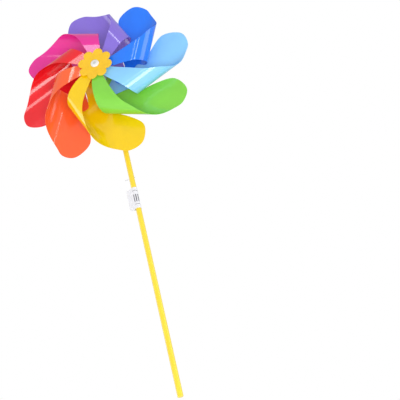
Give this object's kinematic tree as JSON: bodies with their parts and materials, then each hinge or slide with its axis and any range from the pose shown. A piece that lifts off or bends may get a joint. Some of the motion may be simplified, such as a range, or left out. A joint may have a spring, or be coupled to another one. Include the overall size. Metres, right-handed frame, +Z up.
{
  "type": "pinwheel",
  "caption": "Toy pinwheel: curled rainbow plastic blades and a flower on a free-turning axle, on a long plastic stick.",
  "frame": {"origin": "centre of the stick's lower end", "axes": "+Z up along the stick to the neck, -Y is the way the flower and the wheel's front face"},
  "size_m": [0.2354, 0.0798, 0.5457],
  "materials": {
    "blade_green": "glossy sheet",
    "blade_yellow": "glossy sheet",
    "blade_orange": "glossy sheet",
    "blade_red": "glossy sheet",
    "blade_pink": "glossy sheet",
    "blade_purple": "glossy sheet",
    "blade_blue": "glossy sheet",
    "blade_sky": "glossy sheet",
    "flower": "satin",
    "white_plastic": "moulded",
    "bead": "moulded",
    "stick": "extruded, faint lengthwise streaks",
    "label": "coated paper sticker",
    "tag_pin": "clear nylon"
  },
  "bodies": {
    "stick": {"stick": "stick", "label": "label", "tag_pin": "tag_pin"},
    "neck": {"neck": "white_plastic"},
    "wheel": {"blade_green": "blade_green", "blade_yellow": "blade_yellow", "blade_orange": "blade_orange", "blade_red": "blade_red", "blade_pink": "blade_pink", "blade_purple": "blade_purple", "blade_blue": "blade_blue", "blade_sky": "blade_sky", "flower": "flower", "axle_pin": "white_plastic", "front_washer": "white_plastic", "hub_tube": "white_plastic", "rear_washer": "white_plastic", "rear_spacer": "white_plastic", "bead": "bead", "retainer": "white_plastic"}
  },
  "joints": [
    {"name": "neck_swivel", "type": "hinge", "parent": "stick", "child": "neck", "pos_m": [0, 0, 0.4], "axis": [0, 0, 1], "range_deg": [-170, 170]},
    {"name": "wheel_spin", "type": "hinge", "parent": "neck", "child": "wheel", "pos_m": [0, 0, 0.428], "axis": [0, 1, 0], "continuous": true}
  ]
}
